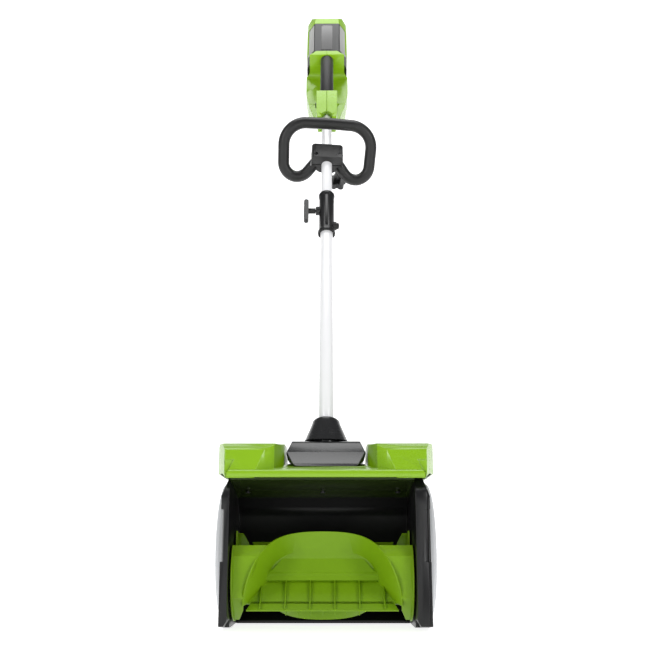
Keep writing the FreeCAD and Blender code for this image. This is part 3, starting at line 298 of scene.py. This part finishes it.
def mix_finishes(colours):
    """Makes each material once, under the name of its record slot."""
    hood = tuple(colours.hood)
    rotor = tuple(colours.rotor)
    black = tuple(colours.black)
    coat = {"Coat Weight": 0.25, "Coat Roughness": 0.12}
    inlays.update(
        side_inlay=moulded("side_inlay", tuple(colours.inlay), 0.34, 700.0, 0.00005),
        label_black=moulded("label_black", tuple(colours.grip), 0.14, 700.0, 0.00001, coat),
    )
    finishes.update(
        hood_green=moulded("hood_green", hood, 0.27, 700.0, 0.00004, coat),
        # Painted shade: the ceiling's finish takes the darkened olive that stands for the shade inside the
        # mouth.
        ceiling_gloss=moulded("ceiling_gloss", tuple(colours.ceiling), 0.13, 500.0, 0.00001, coat),
        # Painted shade: the rotor's finish uses the hood green darkened for the shade under the hood.
        rotor_green=moulded("rotor_green", rotor, 0.38, 600.0, 0.00004, {"Specular IOR Level": 0.28}),
        shell_black=moulded("shell_black", black, 0.30, 900.0, 0.00006),
        cover_black=moulded("cover_black", tuple(colours.cover), 0.25, 900.0, 0.00004, coat),
        tube_white=painted("tube_white", tuple(colours.tube)),
        loop_black=soft_rubber("loop_black", tuple(colours.grip), 0.36),
        grip_black=soft_rubber("grip_black", tuple(colours.grip)),
        wheel_grey=moulded("wheel_grey", tuple(colours.wheel), 0.50, 500.0, 0.00015),
        battery_grey=moulded("battery_grey", tuple(colours.battery), 0.30, 900.0, 0.00006),
        belt_rubber=ribbed_belt("belt_rubber"),
        steel=metal("steel", (0.55, 0.55, 0.56), 0.32, (6.0, 1.0, 1.0)),
        dark_steel=metal("dark_steel", (0.03, 0.03, 0.032), 0.40, metallic=0.6),
        motor_metal=metal("motor_metal", (0.30, 0.30, 0.31), 0.38, (0.3, 4.0, 4.0)),
        board_green=circuit_board("board_green"),
        cell_wrap=moulded("cell_wrap", (0.05, 0.16, 0.42), 0.30, 300.0, 0.00003),
    )


# ---------------------------------------------------------------- mesh helpers

record_slots = {row["node"]: row["material_slot"] for row in frame["record"]["subparts"]}


def piece(bm, name, body, slot, smooth=32.0):
    """Turns a bmesh into a finished piece that rides on a body."""
    mesh = bpy.data.meshes.new(name)
    bm.to_mesh(mesh)
    bm.free()
    mesh.polygons.foreach_set("use_smooth", [True] * len(mesh.polygons))
    mesh.set_sharp_from_angle(angle=math.radians(smooth))
    made = bpy.data.objects.new(name, mesh)
    bpy.context.scene.collection.objects.link(made)
    mesh.materials.append(finishes[slot])
    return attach(made, body) or made


def merged(name):
    """A welded copy of a frame piece's mesh, with its flat areas joined up."""
    bm = bmesh.new()
    bm.from_mesh(frame["nodes"][name].data)
    bmesh.ops.remove_doubles(bm, verts=bm.verts, dist=2e-6)
    bmesh.ops.dissolve_degenerate(bm, edges=bm.edges, dist=1e-6)
    bmesh.ops.dissolve_limit(bm, angle_limit=math.radians(0.4), verts=bm.verts, edges=bm.edges)
    return bm


def soften(bm, width, corner=28.0, shortest=2.2):
    """Bevels the edges that turn by more than the corner angle and are long enough to take it."""
    turning = math.radians(corner)
    surface = BVHTree.FromBMesh(bm)
    edges = [e for e in bm.edges if len(e.link_faces) == 2 and e.calc_face_angle(0.0) > turning]
    edges = [e for e in edges if e.calc_length() > width * shortest]
    bmesh.ops.bevel(bm, geom=edges, offset=width, offset_type="OFFSET", segments=2, profile=0.5,
                    affect="EDGES", clamp_overlap=False, material=-1)
    for vert in bm.verts:
        nearest, _, _, distance = surface.find_nearest(vert.co)
        if distance > 1.5 * width:
            vert.co = nearest


def refined(name, width, corner=28.0, smooth=32.0, reshape=None):
    """A frame piece with softened edges, standing in for the plain one."""
    bm = merged(name)
    if reshape:
        reshape(bm)
    if width:
        soften(bm, width, corner)
    node = frame["nodes"][name]
    made = piece(bm, name + "_moulding", node["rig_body"], record_slots[name], smooth)
    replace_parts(made, name)
    return made


def dressed(*names):
    """Gives frame pieces their finish as they are."""
    for name in names:
        node = frame["nodes"][name]
        node.data.materials.clear()
        node.data.materials.append(finishes[record_slots[name]])


def on_shaft():
    """Turns a piece drawn about an upright shaft to the leaning one."""
    return Matrix.Translation(SHAFT_FOOT) @ Matrix.Rotation(SHAFT_LEAN, 4, "X")


def chain(bm, points):
    """A line of joined edges through points."""
    verts = [bm.verts.new(p) for p in points]
    return verts, [bm.edges.new(pair) for pair in zip(verts, verts[1:])]


# ---------------------------------------------------------------- head


MOUTH = -0.150  # front edge of the mouth along Y

# Heights along a lobe's front, as (behind the mouth, above the ground) in metres.
ROOF_LINE = ((0.000, 0.233), (0.070, 0.243), (0.118, 0.252))
LOBE_LINE = ((0.003, 0.233), (0.015, 0.253), (0.060, 0.269), (0.112, 0.284))
LOBE_INNER = 0.0675
FULL_LINE = ((0.003, 0.233), (0.014, 0.266), (0.030, 0.275), (0.112, 0.284))


def height_at(line, depth):
    """Height of a line of straight runs at a depth behind the mouth."""
    for (start, low), (end, high) in zip(line, line[1:]):
        if depth <= end:
            return low + (high - low) * (max(depth, start) - start) / (end - start)
    return line[-1][1]


def fuller_lobes(bm):
    """Raises the front of both lobes into a steep brow, from the lip up to the lobes' flat tops."""
    for depth, _ in FULL_LINE[1:3]:
        bmesh.ops.bisect_plane(bm, geom=bm.verts[:] + bm.edges[:] + bm.faces[:], dist=1e-6,
                               plane_co=(0, MOUTH + depth, 0), plane_no=(0, 1, 0))
    for vert in bm.verts:
        depth = vert.co.y - MOUTH
        if FULL_LINE[0][0] < depth < FULL_LINE[-1][0] and abs(vert.co.x) > LOBE_INNER:
            roof = height_at(ROOF_LINE, depth)
            lobe = height_at(LOBE_LINE, depth)
            share = min(1.0, max(0.0, (vert.co.z - roof) / max(lobe - roof, 0.001)))
            vert.co.z += share * (height_at(FULL_LINE, depth) - lobe)


class SHOVEL_OT_hood(bpy.types.Operator):
    """Green hood with its lobes, the ceiling of the mouth and its screws"""

    bl_idname = "shovel.hood"
    bl_label = "Hood"

    def execute(self, context):
        sizes = context.scene.shovel_sizes
        refined("hood_shell", sizes.hood_edge, reshape=fuller_lobes)
        refined("ceiling_panel", 0.0)
        refined("ceiling_screws", FINE_EDGE)
        return {"FINISHED"}


class SHOVEL_OT_plates(bpy.types.Operator):
    """Black side plates, scraper, belt cover and the guides inside the head"""

    bl_idname = "shovel.plates"
    bl_label = "Side plates"

    def execute(self, context):
        sizes = context.scene.shovel_sizes
        for name in ("left_cheek", "right_cheek", "belt_cover", "scraper_bar", "rear_panel"):
            refined(name, sizes.plate_edge)
        refined("belt_cover_screws", FINE_EDGE)
        refined("scroll_guide", 0.0)
        return {"FINISHED"}


# A scoop, in metres and degrees from the rotor's axis. A share runs from 0 at the top of its rim, past
# the knee where the half-moon ends, to 1 at the lip.
MOON_KNEE = 0.664
MOON_HALF = 0.0835
MOON_TOP = 0.0385
MOON_ROUNDING = 0.8
PANEL_FORWARD = 0.004
PANEL_FOOT = -0.007
LIP_HALF = 0.1195
LIP_FORWARD = 0.046
LIP_UP = -0.049
LIP_REACH = 0.97
RIM_START = 78.0
RIM_END = -46.8
RIM_ROUNDING = 1.85
RIM_STOP = 0.94
LIP_STEPS = 6

# Bars across a scoop, as (half width, forward, up) in millimetres from the rotor's axis.
DIGGING_LEDGE = ((62, 3.6, 27), (91.5, 13, -7), (91.5, 10, -7), (86, 3.5, -8))
LIP_BAR = ((107, 34, -37), (114.5, 46, -49), (114.5, 44.3, -50.7), (107, 32.3, -38.7))


def moon_point(share):
    """Half width, forward and up of the scoop's half-moon and its lower sides."""
    if share <= MOON_KNEE:
        angle = math.radians(90 * (1 - math.sqrt(share / MOON_KNEE)))
        rise = (MOON_TOP - PANEL_FOOT) * math.sin(angle) ** MOON_ROUNDING
        return MOON_HALF * math.cos(angle) ** MOON_ROUNDING, PANEL_FORWARD, PANEL_FOOT + rise
    rest = (share - MOON_KNEE) / (1 - MOON_KNEE)
    down = rest * LIP_REACH
    return (MOON_HALF + (LIP_HALF - MOON_HALF) * rest,
            PANEL_FORWARD + (LIP_FORWARD - PANEL_FORWARD) * down,
            PANEL_FOOT + (LIP_UP - PANEL_FOOT) * down)


def rim_point(share, radius):
    """Half width, forward and up of the scoop's rim, which lies on the rotor's envelope."""
    angle = RIM_START + (RIM_END - RIM_START) * share
    fall = (angle - RIM_END) / (RIM_START - RIM_END)
    wide = LIP_HALF * math.sqrt(max(0.0, 1 - fall**RIM_ROUNDING))
    turn = math.radians(angle)
    return wide, radius * math.cos(turn), radius * math.sin(turn)


def in_rotor(side, point):
    """A rotor point (half width, forward, up) as a place in the head."""
    wide, forward, up = point
    return ROTOR_AXIS + Vector((side * wide, -forward, up))


def rotor_bar(bm, outline):
    """A bar across a scoop, from one end's outline to the other's."""
    ends = []
    for side in (-1, 1):
        points = [in_rotor(side, [value / 1000 for value in point]) for point in outline]
        ends.append(bm.faces.new([bm.verts.new(point) for point in points]))
    edges = [edge for face in ends for edge in face.edges]
    sides = bmesh.ops.bridge_loops(bm, edges=edges)["faces"]
    bmesh.ops.recalc_face_normals(bm, faces=ends + sides)


def scoop(sizes):
    """One scoop: half-moon panel, sloping digging panel and flared wall, as a shell of even wall."""
    bm = bmesh.new()
    count = sizes.rim_steps
    upper = [MOON_KNEE * (i / count) ** 1.6 for i in range(count + 1)]
    lower = [MOON_KNEE + (RIM_STOP - MOON_KNEE) * i / LIP_STEPS for i in range(1, LIP_STEPS + 1)]
    shares = upper + lower
    sides = [(-1, s) for s in reversed(shares)] + [(1, s) for s in shares[1:]]
    inner, inner_edges = chain(bm, [in_rotor(side, moon_point(s)) for side, s in sides])
    rim, rim_edges = chain(bm, [in_rotor(side, rim_point(s, sizes.rotor_radius)) for side, s in sides])
    bmesh.ops.bridge_loops(bm, edges=inner_edges + rim_edges)
    bmesh.ops.contextual_create(bm, geom=inner[LIP_STEPS:-LIP_STEPS])
    bmesh.ops.contextual_create(bm, geom=inner[:LIP_STEPS + 1] + inner[-LIP_STEPS - 1:])
    bmesh.ops.recalc_face_normals(bm, faces=bm.faces)
    panel = max(bm.faces, key=lambda f: f.calc_area())
    if panel.normal.y > 0:
        bmesh.ops.reverse_faces(bm, faces=bm.faces)
    bmesh.ops.solidify(bm, geom=bm.faces[:], thickness=sizes.rotor_wall)
    for vert in bm.verts:
        arm = Vector((0.0, vert.co.y - ROTOR_AXIS.y, vert.co.z - ROTOR_AXIS.z))
        if arm.length > sizes.rotor_radius:
            vert.co -= arm.normalized() * (arm.length - sizes.rotor_radius)
    soften(bm, 0.0005, 40.0, 1.0)
    rotor_bar(bm, DIGGING_LEDGE)
    rotor_bar(bm, LIP_BAR)
    return bm


class SHOVEL_OT_rotor(bpy.types.Operator):
    """Two-scoop rotor with its ribs, drum skins, end discs, hub and shaft"""

    bl_idname = "shovel.rotor"
    bl_label = "Rotor"

    def execute(self, context):
        sizes = context.scene.shovel_sizes
        for name, turn in (("front_scoop", 0.0), ("rear_scoop", math.pi)):
            bm = scoop(sizes)
            bmesh.ops.rotate(bm, cent=ROTOR_AXIS, matrix=Matrix.Rotation(turn, 3, "X"), verts=bm.verts)
            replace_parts(piece(bm, name + "_moulding", "rotor_group", "rotor_green", 38.0), name)
        for name in ("rotor_skins", "rotor_ribs", "left_rotor_disc", "right_rotor_disc"):
            refined(name, FINE_EDGE)
        for name in ("rotor_hub", "rotor_shaft", "rotor_pulley"):
            refined(name, sizes.small_edge)
        return {"FINISHED"}


PIP_SIZE = (0.0030, 0.0038, 0.0058)
PIP_RADIUS = 0.0935  # from the wheel's axis to the pips' middles


class SHOVEL_OT_wheels(bpy.types.Operator):
    """Road wheels with pips round their sidewalls, and their axle bolts"""

    bl_idname = "shovel.wheels"
    bl_label = "Wheels"

    def execute(self, context):
        sizes = context.scene.shovel_sizes
        for side, name in ((-1, "left"), (1, "right")):
            refined(name + "_wheel", sizes.plate_edge, 24.0)
            refined(name + "_axle_bolt", sizes.small_edge)
            low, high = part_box(name + "_wheel")
            outer = high.x if side > 0 else low.x
            pips = bmesh.new()
            size = Matrix.Diagonal((*PIP_SIZE, 1))
            depth = side * (sizes.pip_height - PIP_SIZE[0] / 2)
            place = Matrix.Translation((outer + depth, 0, PIP_RADIUS))
            bmesh.ops.create_cube(pips, size=1.0, matrix=place @ size)
            soften(pips, 0.0005)
            step = math.tau / sizes.pip_count
            bmesh.ops.spin(pips, geom=pips.faces[:], cent=(0, 0, 0), axis=(1, 0, 0), dvec=(0, 0, 0),
                           angle=math.tau - step, steps=sizes.pip_count - 1, use_duplicate=True)
            bmesh.ops.translate(pips, vec=(0, WHEEL_AXIS.y, WHEEL_AXIS.z), verts=pips.verts)
            piece(pips, name + "_wheel_pips", name + "_road_wheel", "wheel_grey")
        return {"FINISHED"}


class SHOVEL_OT_motor_cover(bpy.types.Operator):
    """Black motor cover and the cone that holds the shaft"""

    bl_idname = "shovel.motor_cover"
    bl_label = "Motor cover"

    def execute(self, context):
        sizes = context.scene.shovel_sizes
        refined("motor_cover", sizes.hood_edge)
        refined("shaft_socket", sizes.plate_edge)
        for name in ("motor_cover_screws", "socket_bolt"):
            refined(name, FINE_EDGE)
        return {"FINISHED"}


class SHOVEL_OT_drive(bpy.types.Operator):
    """Motor, pulleys, belt and bearings inside the head"""

    bl_idname = "shovel.drive"
    bl_label = "Belt drive"

    def execute(self, context):
        width = context.scene.shovel_sizes.small_edge
        for name in ("motor", "motor_bracket", "motor_shaft", "motor_pulley"):
            refined(name, width)
        for name in ("left_bearing", "right_bearing"):
            refined(name, width)
        dressed("drive_belt")
        return {"FINISHED"}


# ---------------------------------------------------------------- shaft and handles


class SHOVEL_OT_shaft(bpy.types.Operator):
    """White split shaft with its black coupler, knob and release button"""

    bl_idname = "shovel.shaft"
    bl_label = "Shaft"

    def execute(self, context):
        sizes = context.scene.shovel_sizes
        for name in ("lower_tube", "upper_tube", "sleeve_pin"):
            refined(name, FINE_EDGE)
        for name in ("coupler_sleeve", "coupler_knob", "release_button"):
            refined(name, sizes.small_edge)
        return {"FINISHED"}


class SHOVEL_OT_loop_handle(bpy.types.Operator):
    """Loop handle with its clamp"""

    bl_idname = "shovel.loop_handle"
    bl_label = "Loop handle"

    def execute(self, context):
        sizes = context.scene.shovel_sizes
        refined("loop_handle", sizes.plate_edge, 40.0, 40.0)
        refined("clamp_cap", sizes.plate_edge)
        refined("clamp_knob", sizes.plate_edge)
        refined("clamp_screw", FINE_EDGE)
        return {"FINISHED"}


class SHOVEL_OT_rear_handle(bpy.types.Operator):
    """Green two-part rear handle with grip, trigger and lock-out button"""

    bl_idname = "shovel.rear_handle"
    bl_label = "Rear handle"

    def execute(self, context):
        sizes = context.scene.shovel_sizes
        for name in ("left_housing", "right_housing"):
            refined(name, sizes.plate_edge, 34.0, 36.0)
        for name in ("grip", "trigger", "trigger_pin", "lock_button", "terminal_block", "power_switch"):
            refined(name, sizes.small_edge)
        refined("housing_screws", FINE_EDGE)
        refined("control_board", 0.0002)
        return {"FINISHED"}


BATTERY_MIDDLE = 1.018  # middle of the battery's panels along the shaft
FACET_PLACE = (0.0375, -0.0030)
FACET_TURN = math.radians(56.8)
FACET_SIZE = (0.0255, 0.0016, 0.094)
LABEL_FORWARD = -0.0160
LABEL_SIZE = (0.026, 0.0012, 0.092)


class SHOVEL_OT_battery(bpy.types.Operator):
    """Battery pack with its green cap, latch and cells"""

    bl_idname = "shovel.battery"
    bl_label = "Battery"

    def execute(self, context):
        sizes = context.scene.shovel_sizes
        refined("battery_case", sizes.plate_edge)
        refined("battery_cap", sizes.hood_edge)
        refined("battery_latch", sizes.small_edge)
        dressed("battery_cells")
        for side, name in ((-1, "left"), (1, "right")):
            facet = Matrix.Translation((side * FACET_PLACE[0], FACET_PLACE[1], 0.0))
            facet = facet @ Matrix.Rotation(side * FACET_TURN, 4, "Z")
            self.inlay("battery_inlay_" + name, facet, FACET_SIZE, "side_inlay")
        front = Matrix.Translation((0, LABEL_FORWARD, 0.0))
        self.inlay("battery_label", front, LABEL_SIZE, "label_black")
        return {"FINISHED"}

    def inlay(self, name, facet, size, finish):
        """A thin moulded panel let into a face of the battery."""
        bm = bmesh.new()
        place = on_shaft() @ Matrix.Translation((0, 0, BATTERY_MIDDLE)) @ facet
        bmesh.ops.create_cube(bm, size=1.0, matrix=place @ Matrix.Diagonal((*size, 1)))
        bmesh.ops.bevel(bm, geom=bm.edges[:], offset=0.0005, segments=2, profile=0.5,
                        affect="EDGES", material=-1)
        made = piece(bm, name, "battery", "battery_grey")
        made.data.materials[0] = inlays[finish]


# ---------------------------------------------------------------- stage


def aimed(thing, target):
    thing.rotation_euler = (Vector(target) - thing.location).to_track_quat("-Z", "Y").to_euler()


def softbox(name, place, target, width, height, watts):
    light = bpy.data.lights.new(name, "AREA")
    light.shape = "RECTANGLE"
    light.size = width
    light.size_y = height
    light.energy = watts
    lamp = bpy.data.objects.new(name, light)
    lamp.location = place
    aimed(lamp, target)
    bpy.context.scene.collection.objects.link(lamp)


class SHOVEL_OT_stage(bpy.types.Operator):
    """Pale floor and back wall, soft lights and the camera"""

    bl_idname = "shovel.stage"
    bl_label = "Stage"

    def execute(self, context):
        scene = context.scene
        scene.view_settings.view_transform = "Standard"
        paper = Finish("studio_paper", {"Base Color": (0.9, 0.9, 0.9, 1), "Roughness": 0.9,
                                        "Specular IOR Level": 0.1, "Emission Color": (1, 1, 1, 1),
                                        "Emission Strength": 0.85})
        bm = bmesh.new()
        verts, _ = chain(bm, [(-9, -9, 0), (-9, 5, 0), (-9, 7, 2), (-9, 7, 9)])
        bmesh.ops.bevel(bm, geom=verts[1:3], offset=0.9, segments=8, profile=0.5,
                        affect="VERTICES", material=-1)
        swept = bmesh.ops.extrude_edge_only(bm, edges=bm.edges[:])["geom"]
        far_side = [v for v in swept if isinstance(v, bmesh.types.BMVert)]
        bmesh.ops.translate(bm, vec=(18, 0, 0), verts=far_side)
        mesh = bpy.data.meshes.new("studio_sweep")
        bm.to_mesh(mesh)
        bm.free()
        mesh.polygons.foreach_set("use_smooth", [True] * len(mesh.polygons))
        mesh.materials.append(paper.material)
        sweep = bpy.data.objects.new("studio_sweep", mesh)
        scene.collection.objects.link(sweep)

        world = bpy.data.worlds.new("studio")
        world.use_nodes = True
        world.node_tree.nodes["Background"].inputs["Color"].default_value = (0.90, 0.92, 0.94, 1)
        world.node_tree.nodes["Background"].inputs["Strength"].default_value = 0.30
        scene.world = world
        softbox("overhead", (0.0, -0.2, 2.7), (0, 0, 0.3), 1.6, 1.6, 30)
        softbox("front_left", (-1.7, -1.9, 1.1), (0, 0, 0.3), 0.7, 1.4, 20)
        softbox("front_right", (1.7, -1.9, 1.1), (0, 0, 0.3), 0.7, 1.4, 20)

        lens = bpy.data.cameras.new("camera")
        lens.sensor_width = 36.0
        lens.lens = 49.85
        camera = bpy.data.objects.new("camera", lens)
        camera.location = (0.009, -1.528, 0.122)
        camera.rotation_euler = (math.radians(90 + 13.74), 0, math.radians(0.41))
        scene.collection.objects.link(camera)
        scene.camera = camera
        return {"FINISHED"}


# ---------------------------------------------------------------- panel and run

builders = (
    SHOVEL_OT_hood,
    SHOVEL_OT_plates,
    SHOVEL_OT_rotor,
    SHOVEL_OT_wheels,
    SHOVEL_OT_motor_cover,
    SHOVEL_OT_drive,
    SHOVEL_OT_shaft,
    SHOVEL_OT_loop_handle,
    SHOVEL_OT_rear_handle,
    SHOVEL_OT_battery,
    SHOVEL_OT_stage,
)


class SHOVEL_PT_panel(bpy.types.Panel):
    bl_idname = "SHOVEL_PT_panel"
    bl_label = "Snow shovel"
    bl_space_type = "VIEW_3D"
    bl_region_type = "UI"
    bl_category = "Shovel"

    def draw(self, context):
        layout = self.layout
        for group in (context.scene.shovel_sizes, context.scene.shovel_colours):
            box = layout.box()
            for label in group.bl_rna.properties.keys():
                if label not in ("rna_type", "name"):
                    box.prop(group, label)
        for builder in builders:
            layout.operator(builder.bl_idname)


classes = (ShovelSizes, ShovelColours, *builders, SHOVEL_PT_panel)


def register():
    for cls in classes:
        bpy.utils.register_class(cls)
    bpy.types.Scene.shovel_sizes = PointerProperty(type=ShovelSizes)
    bpy.types.Scene.shovel_colours = PointerProperty(type=ShovelColours)


def unregister():
    del bpy.types.Scene.shovel_colours
    del bpy.types.Scene.shovel_sizes
    for cls in reversed(classes):
        bpy.utils.unregister_class(cls)


def main():
    register()
    mix_finishes(bpy.context.scene.shovel_colours)
    for builder in builders:
        group, action = builder.bl_idname.split(".")
        getattr(getattr(bpy.ops, group), action)()


if __name__ == "__main__":
    main()
